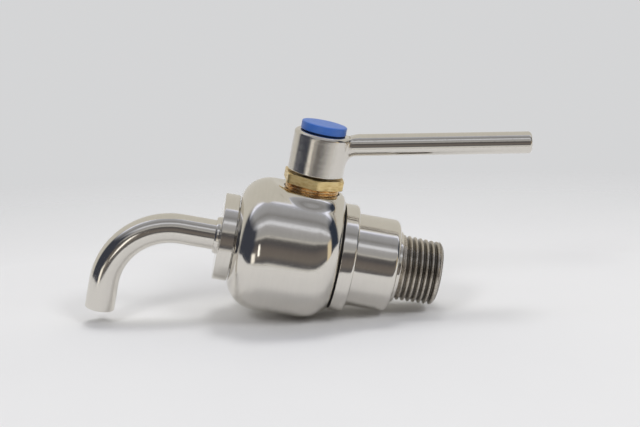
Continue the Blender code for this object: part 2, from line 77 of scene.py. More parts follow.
# Sizes that the boxes don't give. The holes leave a gap round what sits in them.
GAP = 0.3
BALL_R = extent("ball")[1].y
BODY_R = BODY_HIGH.z
BODY_EDGE_R = 9.8               # rounded shoulders
BODY_EDGES_X = (-12.0, 3.1)     # their centres
POLISH_PASSES = 40              # how far the body's curvature is evened out
FACE_CREEP = 0.2                # body and collar close in on the gasket
BORE_R = 6.0
SPIGOT_R, SPIGOT_END = 10.0, -14.5      # spout flange's spigot
SOCKET_R, SOCKET_END = 13.9, 6.7        # mouth that takes the end cap
CAVITY_R, CAVITY_END = 12.2, -5.6       # room for the ball
SEAT_R, SEAT_X = 10.9, 11.5     # seat rings' pockets, on both sides of the ball
STEM_HOLE_R = 4.8
STEM_SHOULDER_R = 6.3
WEB_LOW, WEB_HIGH = 14.3, 15.5  # web over the stem's shoulder
PACKING_R = 6.8
GLAND_Z, GLAND_R = 16.2, 8.8    # hole for the gland nut
FLANGE_R = FLANGE_HIGH.y
FLANGE_FACE, FLANGE_BACK = -26.5, -21.8
TUBE_SEAT_X = -20.2             # how far the spout's tube goes in
SPOUT_R, SPOUT_BORE_R = SPOUT_HIGH.y, 4.0
BEND_R = 21.8
BEND_START = SPOUT_LOW.x + SPOUT_R + BEND_R
COLLAR_R, COLLAR_END = INLET_HIGH.y, 16.6
COLLAR_START = 12.1
GASKET_INNER_R = 14.2
BARREL_R = 15.0
SHOULDER_X = -BALL.x / MM
NECK_R, NECK_END = 11.6, SHOULDER_X + 1.5
THREAD_R, THREAD_PITCH, THREAD_DEPTH = 10.48, 1.814, 1.0
THREAD_TAPER = 1 / 32
THREAD_GAUGE = 8.2              # from the pipe's end to where THREAD_R is measured
THREAD_CHAMFER = 0.8
# Share of a turn and share of the depth
THREAD_FORM = [(0.0, 0.06), (0.05, 0.01), (0.12, 0.0), (0.19, 0.01), (0.24, 0.06), (0.37, 0.42),
               (0.50, 0.86), (0.56, 0.97), (0.62, 1.0), (0.68, 0.97), (0.74, 0.86), (0.87, 0.42)]
NUT_THREAD_R, NUT_THREAD_DEPTH, NUT_PITCH = 8.6, 0.5, 1.0
NUT_HEX_FLATS, NUT_HEX_Z = 18.0, 22.5
NUT_HEX_TURN = math.radians(34)
NUT_CHAMFER = 0.18
NUT_TOP_R = 8.2                 # flat top inside the chamfered corners
NUT_POCKET_Z = 21.3             # roof over the packing
BOSS_Z, BOSS_FLAT_R, BOSS_FOOT_R = 20.5, 9.3, 13.6      # boss round the nut, and where it runs out
HUB_R = HUB_HIGH.y
HUB_EDGE_R = 1.2
HUB_FLOOR, HUB_POCKET_R = 32.0, 6.0
HUB_TOP = 39.4
SQUARE_SIDE, SQUARE_HEIGHT, SQUARE_Z = 6.9, 8, 29       # hole for the stem's square, and its middle
ROD_R = extent("handle_rod")[1].y
ROD_SLOPE = math.radians(11.5)
ROD_ROOT = Vector((12.8, 0, 37.5))
ROD_END_X, ROD_END_R = 66.0, 1.0
ROD_LENGTH = (ROD_END_X - ROD_ROOT.x) / math.cos(ROD_SLOPE)
TENON_R, TENON_LENGTH = 2.0, 3  # the rod's end inside the neck
NECK_FILLET, NECK_FILLET_TOP = 3.4, 0.6
# Weld bead where the rod meets the neck: share of the straight stretch and height
WELD = [(0.0, 0.0), (0.15, 0.01), (0.3, 0.04), (0.45, 0.06), (0.6, 0.04), (0.75, 0.01), (0.9, 0.0)]
CAP_R = 7.25
CAP_FOOT, CAP_TOP = 39.75, 42.3
CAP_SKIRT, CAP_PLUG = -0.15, -3.15      # lower ends of the rim and the plug, from CAP_FOOT
PLUG_R, PLUG_BORE_R = 5.7, 4.3
CAP_LEAN = (math.radians(-2.0), math.radians(0.6))

# The table that the valve lies on, as fitted to its shadows
TABLE_TILT = math.radians(12.6)
TABLE_UP = Vector((-math.sin(TABLE_TILT), 0, math.cos(TABLE_TILT)))
TABLE_DROP = 22.05              # below the ball's centre, square to the table


# ---------------------------------------------------------------- outlines

def arc(centre, radius, start, end, steps):
    """Points of an arc, with angles in degrees from the along direction."""
    turns = [math.radians(start + (end - start) * i / steps) for i in range(steps + 1)]
    return [(centre[0] + radius * math.cos(t), centre[1] + radius * math.sin(t)) for t in turns]


def softened(outline, closed=True, steps=5):
    """Round the corners given as (along, out, radius). Points given as (along, out) stay as they are."""
    result = []
    count = len(outline)
    for i, corner in enumerate(outline):
        here = Vector(corner[:2])
        at_end = not closed and i in (0, count - 1)
        if len(corner) < 3 or at_end:
            result.append(here)
            continue
        before = Vector(outline[i - 1][:2]) - here
        after = Vector(outline[(i + 1) % count][:2]) - here
        bend = before.angle(after)
        reach = min(corner[2] / math.tan(bend / 2), before.length * 0.49, after.length * 0.49)
        start, end = here + before.normalized() * reach, here + after.normalized() * reach
        middle = here + (before.normalized() + after.normalized()).normalized() * reach / math.cos(bend / 2)
        swing = (start - middle).angle_signed(end - middle)
        for step in range(steps + 1):
            turned_by = Matrix.Rotation(-swing * step / steps, 2)
            result.append(middle + turned_by @ (start - middle))
    return result


def filled_in(points, spacing, closed=True):
    """Add points so that no stretch is longer than spacing."""
    result = []
    pairs = list(zip(points, points[1:] + points[:1] if closed else points[1:]))
    for first, second in pairs:
        pieces = max(1, math.ceil((second - first).length / spacing))
        result += [first.lerp(second, i / pieces) for i in range(pieces)]
    if not closed:
        result.append(points[-1])
    return result


def eased(points, passes):
    """Even out an open outline's curvature, as hand polishing does, and keep its ends."""
    for _ in range(passes):
        inner = [(a + b * 2 + c) / 4 for a, b, c in zip(points, points[1:], points[2:])]
        points = [points[0], *inner, points[-1]]
    return points


# ---------------------------------------------------------------- paths and swept surfaces

# A path gives the point at a distance along it, and its direction there

def along_x(distance):
    return Vector((distance, 0, 0)), Vector((1, 0, 0))


def along_z(distance):
    return Vector((0, 0, distance)), Vector((0, 0, 1))


def along_rod(distance):
    direction = Vector((math.cos(ROD_SLOPE), 0, math.sin(ROD_SLOPE)))
    return ROD_ROOT + direction * distance, direction


def along_spout(distance):
    """distance is measured along the middle of the spout, from where its bend starts."""
    bend = BEND_R * math.pi / 2
    turn = min(max(distance / BEND_R, 0), math.pi / 2)
    point = Vector((BEND_START - BEND_R * math.sin(turn), 0, BEND_R * (math.cos(turn) - 1)))
    if distance < 0:
        point.x -= distance
    if distance > bend:
        point.z -= distance - bend
    return point, Vector((-math.cos(turn), 0, -math.sin(turn)))


def new_object(name, mesh, materials):
    mesh.transform(Matrix.Translation(BALL) @ Matrix.Scale(MM, 4))
    obj = bpy.data.objects.new(name, mesh)
    bpy.context.scene.collection.objects.link(obj)
    for mat in materials:
        mesh.materials.append(mat)
    return obj


def swept(name, outline, path, materials, sides=128, closed=True):
    """Sweep an outline of (along, out) points round a path, with normals worked out from the outline."""
    points = [Vector(p) for p in outline]
    count = len(points)
    area = sum(a.x * b.y - b.x * a.y for a, b in zip(points, points[1:] + points[:1]))
    facing = 1 if area < 0 else -1
    coords, normals, rings = [], [], []
    for i, point in enumerate(points):
        before = points[i - 1] if closed or i > 0 else point
        after = points[(i + 1) % count] if closed or i < count - 1 else point
        tangent = (after - before).normalized()
        normal = Vector((-tangent.y, tangent.x)) * facing
        centre, direction = path(point.x)
        across = Vector((1, 0, 0)) if abs(direction.z) > 0.999 and path is along_z else Vector((0, 1, 0))
        other = direction.cross(across)
        on_axis = abs(point.y) < 1e-6
        ring = []
        for side in range(1 if on_axis else sides):
            angle = math.tau * side / sides
            radial = across * math.cos(angle) + other * math.sin(angle)
            ring.append(len(coords))
            coords.append(centre + radial * point.y)
            normals.append(direction * (1 if normal.x > 0 else -1) if on_axis
                           else direction * normal.x + radial * normal.y)
        rings.append(ring)
    faces = []
    for first, second in zip(rings, rings[1:] + rings[:1] if closed else rings[1:]):
        for side in range(sides):
            following = (side + 1) % sides
            corners = [first[side % len(first)], first[following % len(first)],
                       second[following % len(second)], second[side % len(second)]]
            corners = list(dict.fromkeys(corners))
            if len(corners) > 2:
                faces.append(corners[::facing])
    mesh = bpy.data.meshes.new(name)
    mesh.from_pydata(coords, [], faces)
    mesh.shade_smooth()
    mesh.update()
    mesh.normals_split_custom_set_from_vertices(normals)
    return new_object(name, mesh, materials)


def stands_for(piece, body, slot, *nodes):
    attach(piece, body)
    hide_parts(*nodes)


def apply_boolean(obj, tool, operation="DIFFERENCE"):
    cut = obj.modifiers.new("cut", "BOOLEAN")
    cut.solver = "MANIFOLD"
    cut.object = tool
    cut.operation = operation
    with bpy.context.temp_override(object=obj, active_object=obj):
        bpy.ops.object.modifier_apply(modifier=cut.name)
    bpy.data.objects.remove(tool, do_unlink=True)


# ---------------------------------------------------------------- material building blocks
# Noise scales are per metre. Depths of bumps are in metres.

class Tree:
    """Short-hand for adding nodes to a material or world."""

    def __init__(self, owner):
        owner.use_nodes = True
        self.nodes = owner.node_tree.nodes
        self.links = owner.node_tree.links

    def add(self, kind, inputs=(), **settings):
        node = self.nodes.new(kind)
        for key, value in settings.items():
            setattr(node, key, value)
        for key, value in dict(inputs).items():
            self.feed(node.inputs[key], value)
        return node

    def feed(self, socket, value):
        if isinstance(value, bpy.types.NodeSocket):
            self.links.new(value, socket)
        else:
            socket.default_value = value

    def math(self, operation, first, second=0.0):
        return self.add("ShaderNodeMath", {0: first, 1: second}, operation=operation).outputs[0]

    def noise(self, vector, scale, detail=2.0, roughness=0.5):
        node = self.add("ShaderNodeTexNoise", {"Vector": vector, "Scale": scale, "Detail": detail,
                                               "Roughness": roughness})
        return node.outputs["Fac"]

    def remap(self, value, low, high, to_low, to_high):
        node = self.add("ShaderNodeMapRange", {"Value": value, "From Min": low, "From Max": high,
                                               "To Min": to_low, "To Max": to_high})
        return node.outputs["Result"]

    def mix(self, factor, first, second):
        """Mix two colours, which are the Mix node's inputs 6 and 7 and its output 2."""
        node = self.add("ShaderNodeMix", {0: factor, 6: first, 7: second}, data_type="RGBA")
        return node.outputs[2]

    def bump(self, height, distance, normal=None):
        inputs = {"Height": height, "Distance": distance}
        if normal is not None:
            inputs["Normal"] = normal
        return self.add("ShaderNodeBump", inputs).outputs["Normal"]

    def ramp(self, factor, stops):
        node = self.add("ShaderNodeValToRGB", {"Fac": factor})
        elements = node.color_ramp.elements
        while len(elements) > 1:
            elements.remove(elements[-1])
        elements[0].position, elements[0].color = stops[0][0], (*stops[0][1], 1)
        for position, colour in stops[1:]:
            elements.new(position).color = (*colour, 1)
        return node.outputs["Color"]


MICRON = 0.000001
METRES_PER_RADIAN = 0.002       # how slowly lathe marks change round their axis
SCRATCH_DEPTH = 2.5 * MICRON
ROOT_SHADE = 0.28               # painted shade in a thread's roots, against its crests


def new_material(name, metallic):
    mat = bpy.data.materials.new(name)
    tree = Tree(mat)
    shader = tree.nodes["Principled BSDF"]
    shader.inputs["Metallic"].default_value = metallic
    return mat, tree, shader


def stretched(tree, scale):
    """Object coordinates scaled unevenly, for marks that run one way."""
    coords = tree.add("ShaderNodeTexCoord").outputs["Object"]
    return tree.add("ShaderNodeMapping", {"Vector": coords, "Scale": scale}).outputs["Vector"]


def round_the(tree, axis):
    """Coordinates along an axis, out from it and, far more slowly, round it."""
    coords = tree.add("ShaderNodeTexCoord").outputs["Object"]
    moved = tree.add("ShaderNodeVectorMath", {0: coords, 1: tuple(BALL)}, operation="SUBTRACT").outputs[0]
    parts = tree.add("ShaderNodeSeparateXYZ", {0: moved}).outputs
    along, first, second = [parts[name] for name in ("XYZ" if axis == "X" else "ZXY")]
    out = tree.math("SQRT", tree.math("ADD", tree.math("MULTIPLY", first, first),
                                      tree.math("MULTIPLY", second, second)))
    turned = tree.math("MULTIPLY", tree.math("ARCTAN2", second, first), METRES_PER_RADIAN)
    return tree.add("ShaderNodeCombineXYZ", {"X": along, "Y": out, "Z": turned}).outputs[0]


def steel(name, axis, colour, roughness, turning, wobble, stain=0.03, root_r=None):
    """Stainless steel. turning is the depth of the lathe lines in metres, wobble that of the uneven polish.

    A thread's steel darkens towards root_r, the radius of its roots, as painted shade in the grooves.
    """
    mat, tree, shader = new_material(name, 1.0)
    marks = round_the(tree, axis)
    plain = tree.add("ShaderNodeTexCoord").outputs["Object"]
    lines = tree.noise(marks, 9000, 3, 0.6)
    bands = tree.noise(marks, 1400, 2)
    cloud = tree.noise(plain, 220, 3)
    waves = tree.noise(plain, 95, 1)
    scuffs = tree.noise(stretched(tree, (900, 2600, 2600)), 1, 2)
    rough = tree.math("MULTIPLY", tree.math("ADD", cloud, scuffs), 0.5)
    tree.feed(shader.inputs["Roughness"], tree.remap(rough, 0.35, 0.65, roughness * 0.7, roughness * 1.4))
    dark = tuple(c * (1 - stain) for c in colour)
    tint = tree.mix(tree.remap(tree.math("ADD", cloud, bands), 0.8, 1.2, 0, 1), (*dark, 1), (*colour, 1))
    # Painted shade: the thread's roots are coloured darker than its crests
    if root_r:
        out = tree.add("ShaderNodeSeparateXYZ", {0: marks}).outputs["Y"]
        from_root = tree.remap(out, root_r, root_r + THREAD_DEPTH * MM * 0.8, 0, 1)
        shaded = tuple(c * ROOT_SHADE for c in colour)
        tint = tree.mix(from_root, (*shaded, 1), tint)
    tree.feed(shader.inputs["Base Color"], tint)
    scratches = tree.remap(tree.noise(stretched(tree, (300, 5200, 2600)), 1, 2), 0.66, 0.72, 0, 1)
    surface = tree.bump(waves, wobble)
    surface = tree.bump(scratches, SCRATCH_DEPTH, surface)
    surface = tree.bump(tree.math("ADD", lines, bands), turning, surface)
    tree.feed(shader.inputs["Normal"], surface)
    return mat


def brass(name, colours, roughness):
    """Brass, with its colours from the most tarnished to the brightest."""
    mat, tree, shader = new_material(name, 1.0)
    marks = round_the(tree, "Z")
    plain = tree.add("ShaderNodeTexCoord").outputs["Object"]
    streaks = tree.noise(stretched(tree, (500, 500, 1500)), 1, 3, 0.55)
    blotch = tree.noise(plain, 330, 3, 0.5)
    worn = tree.math("ADD", tree.math("MULTIPLY", streaks, 0.6), tree.math("MULTIPLY", blotch, 0.4))
    tree.feed(shader.inputs["Base Color"], tree.ramp(worn, list(zip((0.30, 0.40, 0.50, 0.66), colours))))
    tree.feed(shader.inputs["Roughness"], tree.remap(worn, 0.35, 0.65, roughness * 1.2, roughness * 0.8))
    surface = tree.bump(worn, 12 * MICRON)
    surface = tree.bump(tree.noise(marks, 7000, 3), 3 * MICRON, surface)
    tree.feed(shader.inputs["Normal"], surface)
    return mat


def plastic(name, colour, pale, roughness):
    """Plastic or rubber, smudged with its pale colour."""
    mat, tree, shader = new_material(name, 0.0)
    plain = tree.add("ShaderNodeTexCoord").outputs["Object"]
    smudge = tree.noise(plain, 260, 4, 0.6)
    grain = tree.noise(plain, 6000, 2)
    tree.feed(shader.inputs["Base Color"],
              tree.mix(tree.remap(smudge, 0.45, 0.75, 0, 0.5), (*colour, 1), (*pale, 1)))
    tree.feed(shader.inputs["Roughness"], tree.remap(smudge, 0.3, 0.7, roughness * 0.85, roughness * 1.15))
    tree.feed(shader.inputs["Normal"], tree.bump(grain, 10 * MICRON))
    return mat


STEEL = (0.73, 0.70, 0.645)
THREAD_ROOT_R = 9.5 * MM
POLISHED_X = steel("polished_steel_turned", "X", STEEL, 0.10, 0.1 * MICRON, 40 * MICRON)
POLISHED_ROD = steel("polished_steel_rod", "X", STEEL, 0.08, 0.2 * MICRON, 30 * MICRON)
BRUSHED = steel("brushed_steel", "Z", (0.70, 0.67, 0.62), 0.18, 18 * MICRON, 20 * MICRON)
THREADED = steel("threaded_steel", "X", (0.60, 0.555, 0.49), 0.27, 0.3 * MICRON, 10 * MICRON,
                 0.2, THREAD_ROOT_R)
MACHINED = steel("machined_steel", "Z", (0.60, 0.57, 0.52), 0.25, 0.3 * MICRON, 10 * MICRON, 0.1)
BRASS = brass("brass", [(0.50, 0.33, 0.14), (0.70, 0.52, 0.24), (0.78, 0.61, 0.30), (0.85, 0.69, 0.38)],
              0.38)
BRASS_CUT = brass("cut_brass", [(0.17, 0.09, 0.045), (0.46, 0.28, 0.14), (0.76, 0.52, 0.27),
                                (0.88, 0.68, 0.42)], 0.26)
BLUE = plastic("blue_plastic", (0.05, 0.16, 0.55), (0.09, 0.20, 0.48), 0.38)
RUBBER = plastic("black_rubber", (0.010, 0.010, 0.011), (0.03, 0.03, 0.03), 0.7)
SEAT = plastic("seat_plastic", (0.78, 0.78, 0.75), (0.70, 0.70, 0.66), 0.45)


# ---------------------------------------------------------------- pipe run

def raise_boss(mesh):
    """Blend the body's crown into the flat boss round the gland nut, as the polished casting does."""
    for vert in mesh.vertices:
        out = math.hypot(vert.co.x, vert.co.y)
        if vert.co.z < BODY_R / 2 or out > BOSS_FOOT_R:
            continue
        share = min(1, (BOSS_FOOT_R - out) / (BOSS_FOOT_R - BOSS_FLAT_R))
        share = share * share * (3 - 2 * share)
        vert.co.z += (BOSS_Z - vert.co.z) * share


def make_body():
    left, right = BODY_EDGES_X
    crown = BODY_R - BODY_EDGE_R
    left_start = 180 - math.degrees(math.acos((left - BODY_LOW.x) / BODY_EDGE_R))
    right_end = math.degrees(math.acos((BODY_HIGH.x - right) / BODY_EDGE_R))
    outside = arc((left, crown), BODY_EDGE_R, left_start, 90, 26)
    outside += arc((right, crown), BODY_EDGE_R, 90, right_end, 24)
    outside = eased(filled_in([Vector(point) for point in outside], 0.4, closed=False), POLISH_PASSES)
    face = BODY_HIGH.x + FACE_CREEP
    mouth_r = SPIGOT_R + GAP
    inside = [(face, outside[-1].y - 0.2), (face, SOCKET_R, 0.3), (SOCKET_END, SOCKET_R, 0.2),
              (SOCKET_END, CAVITY_R, 0.2), (CAVITY_END, CAVITY_R, 0.2), (CAVITY_END, SEAT_R, 0.2),
              (-SEAT_X, SEAT_R, 0.2), (-SEAT_X, BORE_R, 0.2), (SPIGOT_END, BORE_R, 0.2),
              (SPIGOT_END, mouth_r, 0.2), (BODY_LOW.x, mouth_r, 0.2)]
    outline = [tuple(point) for point in outside] + inside
    outline = filled_in(softened(outline, steps=4), 0.8)
    body = swept("body", outline, along_x, [POLISHED_X], sides=240)
    body.data.transform(Matrix.Scale(1 / MM, 4) @ Matrix.Translation(-BALL))
    raise_boss(body.data)
    body.data.transform(Matrix.Translation(BALL) @ Matrix.Scale(MM, 4))
    above = BODY_R + 3
    stem_bore = [(0, 0), (0, STEM_SHOULDER_R), (WEB_LOW, STEM_SHOULDER_R), (WEB_LOW, STEM_HOLE_R),
                 (WEB_HIGH, STEM_HOLE_R), (WEB_HIGH, PACKING_R), (GLAND_Z, PACKING_R),
                 (GLAND_Z, GLAND_R), (above, GLAND_R), (above, 0)]
    apply_boolean(body, swept("stem_bore", stem_bore, along_z, [POLISHED_X], sides=96, closed=False))
    body.data.shade_smooth()
    body.data.set_sharp_from_angle(angle=math.radians(35))
    stands_for(body, VALVE, "polished_steel", "body")


def make_spout_flange():
    bead_x = FLANGE_LOW.x
    outline = [(TUBE_SEAT_X, SPOUT_R + 0.3, 0.1), (bead_x + 0.1, SPOUT_R + 0.3, 0.15),
               (bead_x, SPOUT_R + 0.75, 0.2), (bead_x + 0.55, SPOUT_R + 1.05, 0.25),
               (FLANGE_FACE, SPOUT_R + 1.3, 0.25), (FLANGE_FACE, FLANGE_R, 0.45),
               (FLANGE_BACK, FLANGE_R, 0.35), (FLANGE_BACK, SPIGOT_R, 0.1),
               (FLANGE_HIGH.x, SPIGOT_R, 0.3), (FLANGE_HIGH.x, SPOUT_BORE_R, 0.2),
               (TUBE_SEAT_X, SPOUT_BORE_R, 0.1)]
    flange = swept("spout_flange", softened(outline), along_x, [POLISHED_X])
    stands_for(flange, VALVE, "polished_steel", "spout_flange")


def make_spout_tube():
    start = BEND_START - SPOUT_HIGH.x
    bend = BEND_R * math.pi / 2
    end = bend + (-BEND_R - SPOUT_LOW.z)
    outline = softened([(start, SPOUT_BORE_R, 0.1), (start, SPOUT_R, 0.2), (end, SPOUT_R, 0.25),
                        (end, SPOUT_BORE_R, 0.2)])
    tube = swept("spout_tube", filled_in(outline, 0.7), along_spout, [POLISHED_X], sides=96)
    stands_for(tube, VALVE, "polished_steel", "spout_tube")


def thread_grid(start, end, pitch, depth_at, radius_at, sides):
    """Rows of (along, out) for each column of a thread's helix, squeezed flat at both ends."""
    rows = []
    for turn in range(-1, math.ceil((end - start) / pitch) + 1):
        for share, depth in THREAD_FORM:
            row = []
            for column in range(sides + 1):
                along = min(max(start + pitch * (turn + share + column / sides), start), end)
                row.append((along, radius_at(along) - depth_at(along) * depth))
            rows.append(row)
    return rows


def swept_rows(name, rows, path, materials, sides, choose=None):
    """Skin rows of (along, out) points, one for each column, merging points that coincide."""
    coords, known, faces, choices = [], {}, [], []

    def index(along, out, column):
        key = (round(along, 5), round(out, 5), column % sides)
        if key not in known:
            centre, direction = path(along)
            across = Vector((0, 1, 0)) if path is along_x else Vector((1, 0, 0))
            angle = math.tau * (column % sides) / sides
            radial = across * math.cos(angle) + direction.cross(across) * math.sin(angle)
            known[key] = len(coords)
            coords.append(centre + radial * out)
        return known[key]

    for first, second in zip(rows, rows[1:] + rows[:1]):
        for column in range(sides):
            corners = [index(*first[column], column), index(*first[column + 1], column + 1),
                       index(*second[column + 1], column + 1), index(*second[column], column)]
            corners = list(dict.fromkeys(corners))
            if len(corners) > 2:
                faces.append(corners)
                choices.append(choose(*first[column]) if choose else 0)
    mesh = bpy.data.meshes.new(name)
    mesh.from_pydata(coords, [], faces)
    mesh.polygons.foreach_set("material_index", choices)
    mesh.update()
    mesh.shade_smooth()
    mesh.set_sharp_from_angle(angle=math.radians(40))
    return new_object(name, mesh, materials)


def make_end_cap():
    sides = 128
    start, end = NECK_END, INLET_HIGH.x - THREAD_CHAMFER
    gauge = INLET_HIGH.x - THREAD_GAUGE

    def radius_at(along):
        return THREAD_R - (along - gauge) * THREAD_TAPER

    def depth_at(along):
        run_out, run_in = max(0, along - start) / 0.9, max(0, end - along) / 0.5
        return THREAD_DEPTH * min(1, run_out, run_in)

    rows = thread_grid(start, end, THREAD_PITCH, depth_at, radius_at, sides)
    tip = radius_at(end)
    spigot_r, spigot_end = SOCKET_R - GAP, INLET_LOW.x
    collar_face = COLLAR_START - FACE_CREEP
    rest = softened([
        (end, tip), (INLET_HIGH.x, tip - 0.9, 0.15), (INLET_HIGH.x, BORE_R, 0.3), (SEAT_X, BORE_R, 0.1),
        (SEAT_X, SEAT_R, 0.1), (spigot_end, SEAT_R, 0.2), (spigot_end, spigot_r, 0.2),
        (collar_face, spigot_r, 0.1), (collar_face, COLLAR_R, 0.3), (COLLAR_END, COLLAR_R, 0.9),
        (COLLAR_END, BARREL_R, 0.25), (SHOULDER_X, BARREL_R, 1.9), (SHOULDER_X, NECK_R, 0.3),
        (NECK_END - 0.2, NECK_R, 0.5), (start, radius_at(start))], closed=False, steps=8)
    rest = filled_in(rest, 1.2, closed=False)
    rows += [[tuple(point)] * (sides + 1) for point in rest[1:-1]]

    def cut_metal(along, out):
        return 1 if along > NECK_END - 0.3 and out > BORE_R + 0.5 else 0

    cap = swept_rows("end_cap", rows, along_x, [POLISHED_X, THREADED], sides, cut_metal)
    stands_for(cap, VALVE, "polished_steel", "end_cap")


def make_gasket():
    low, high = GASKET_LOW.x, GASKET_HIGH.x
    outer, inner = GASKET_HIGH.y, GASKET_INNER_R
    outline = [(low, inner, 0.1), (low, outer, 0.15), (high, outer, 0.15), (high, inner, 0.1)]
    gasket = swept("body_gasket", softened(outline), along_x, [RUBBER])
    stands_for(gasket, VALVE, "black_rubber", "body_gasket")


def make_ball():
    opening = math.degrees(math.asin(BORE_R / BALL_R))
    outline = arc((0, 0), BALL_R, opening, 180 - opening, 60)
    outline[0] = (*outline[0], 0.2)
    outline[-1] = (*outline[-1], 0.2)
    ball = swept("ball", softened(outline, steps=3), along_x, [POLISHED_X])
    stands_for(ball, LEVER, "polished_steel", "ball")


# ---------------------------------------------------------------- gland nut

def make_packing_nut():
    sides = 120
    foot, top = NUT_LOW.z, NUT_HIGH.z
    corner = NUT_HEX_FLATS / 2 / math.cos(math.pi / 6)
    thread_start, thread_end = foot + 0.2, NUT_HEX_Z - 0.15

    def depth_at(along):
        run_in, run_out = max(0, along - thread_start) / 0.5, max(0, thread_end - along) / 0.4
        return NUT_THREAD_DEPTH * min(1, run_in, run_out)

    rows = thread_grid(thread_start, thread_end, NUT_PITCH, depth_at, lambda along: NUT_THREAD_R, sides)

    def flats(along, out):
        row = []
        for column in range(sides + 1):
            angle = math.tau * column / sides
            from_flat = (angle - NUT_HEX_TURN) % (math.pi / 3) - math.pi / 6
            flat = NUT_HEX_FLATS / 2 / math.cos(from_flat)
            row.append((along, min(out, flat)))
        return row

    def plain(along, out):
        return [(along, out)] * (sides + 1)

    rows += [plain(NUT_HEX_Z, NUT_THREAD_R - 0.1), flats(NUT_HEX_Z, corner - 0.35)]
    rows += [flats(NUT_HEX_Z + 0.12, corner - 0.1), flats(NUT_HEX_Z + 0.3, corner - 0.02)]
    rows += [flats(NUT_HEX_Z + (top - NUT_HEX_Z) * share, corner - 0.02) for share in (0.3, 0.5, 0.7)]
    rows += [flats(top - 0.3, corner - 0.02), flats(top - NUT_CHAMFER, corner - 0.25)]
    rows += [flats(top, corner - 0.75), plain(top, NUT_TOP_R), plain(top, STEM_HOLE_R + 0.3)]
    rows += [plain(top - 0.3, STEM_HOLE_R), plain(NUT_POCKET_Z, STEM_HOLE_R)]
    rows += [plain(NUT_POCKET_Z, PACKING_R), plain(foot, PACKING_R), plain(foot, NUT_THREAD_R - 0.5)]
    nut = swept_rows("packing_nut", rows, along_z, [BRASS, BRASS_CUT], sides,
                     lambda along, out: 1 if along < NUT_HEX_Z - 0.1 else 0)
    nut.data.set_sharp_from_angle(angle=math.radians(25))
    stands_for(nut, VALVE, "brass", "packing_nut")


# ---------------------------------------------------------------- handle

def neck_mesh():
    """Neck from the rod to the hub.

    Each strand runs along the rod's side and then turns onto the hub's wall.
    """
    strands, steps = 72, 18
    forward = Vector((math.cos(ROD_SLOPE), 0, math.sin(ROD_SLOPE)))
    up = forward.cross(Vector((0, 1, 0)))
    coords, faces, rings = [], [], []
    for i in range(strands):
        angle = math.tau * i / strands
        offset = Vector((0, 1, 0)) * ROD_R * math.cos(angle) + up * ROD_R * math.sin(angle)
        start = ROD_ROOT + offset
        reach = (start.x - math.sqrt(HUB_R ** 2 - start.y ** 2)) / forward.x
        corner = start - forward * reach
        fillet = NECK_FILLET * (1 - math.sin(angle)) / 2 + NECK_FILLET_TOP
        wall_y = corner.y + fillet * 0.6 * math.cos(angle)
        wall_z = min(corner.z + fillet * math.sin(angle), HUB_TOP - 0.35)
        wall = Vector((math.sqrt(HUB_R ** 2 - wall_y ** 2), wall_y, wall_z))
        on_top = max(math.sin(angle), 0) ** 2
        blend = min(reach * 0.9, max(fillet * 0.7, reach * 0.75 * on_top))
        blend_start = corner + forward * blend
        shoulder = corner.lerp(wall, 0.2 * on_top)
        strand = []
        for share, swell in WELD:
            strand.append(start - forward * (reach - blend) * share + offset.normalized() * swell * on_top)
        for step in range(steps + 1):
            t = step / steps
            strand.append(blend_start * (1 - t) ** 2 + shoulder * (2 * t * (1 - t)) + wall * t ** 2)
        strand.append(Vector((wall.x * 0.8, wall.y * 0.8, wall.z)))
        rings.append([len(coords) + k for k in range(len(strand))])
        coords += strand
    for first, second in zip(rings, rings[1:] + rings[:1]):
        for k in range(len(first) - 1):
            faces.append([first[k], first[k + 1], second[k + 1], second[k]])
    faces.append([ring[0] for ring in rings])
    faces.append([ring[-1] for ring in rings][::-1])
    mesh = bpy.data.meshes.new("neck")
    mesh.from_pydata(coords, [], faces)
    mesh.update()
    return mesh


def make_handle_hub():
    outline = [(HUB_LOW.z, 0), (HUB_LOW.z, HUB_R, 0.35), (HUB_TOP, HUB_R, HUB_EDGE_R),
               (HUB_TOP, HUB_POCKET_R, 0.25), (HUB_FLOOR, HUB_POCKET_R, 0.2), (HUB_FLOOR, 0)]
    outline = filled_in(softened(outline, closed=False, steps=10), 1.0, closed=False)
    hub = swept("handle_hub", outline, along_z, [BRUSHED, POLISHED_ROD], sides=160, closed=False)
    neck = new_object("neck", neck_mesh(), [BRUSHED])
    apply_boolean(hub, neck, "UNION")
    place = Matrix.Translation((0, 0, SQUARE_Z))
    size = Matrix.Diagonal((SQUARE_SIDE, SQUARE_SIDE, SQUARE_HEIGHT, 1))
    bm = bmesh.new()
    bmesh.ops.create_cube(bm, size=1, matrix=place @ size)
    square = bpy.data.meshes.new("square")
    bm.to_mesh(square)
    bm.free()
    apply_boolean(hub, new_object("square", square, [BRUSHED]))
    hub.data.shade_smooth()
    hub.data.set_sharp_from_angle(angle=math.radians(40))
    neck_start = BALL.x + (HUB_R + 0.5) * MM
    for face in hub.data.polygons:
        face.material_index = 1 if face.center.x > neck_start else 0
    stands_for(hub, LEVER, "brushed_steel", "handle_hub")


def make_handle_rod():
    outline = [(-TENON_LENGTH, 0), (-TENON_LENGTH, TENON_R, 0.2), (0, TENON_R), (0, ROD_R, 0.02),
               (ROD_LENGTH, ROD_R, ROD_END_R), (ROD_LENGTH, 0)]
    outline = filled_in(softened(outline, closed=False, steps=10), 2.0, closed=False)
    rod = swept("handle_rod", outline, along_rod, [POLISHED_ROD], sides=96, closed=False)
    stands_for(rod, LEVER, "polished_steel", "handle_rod")


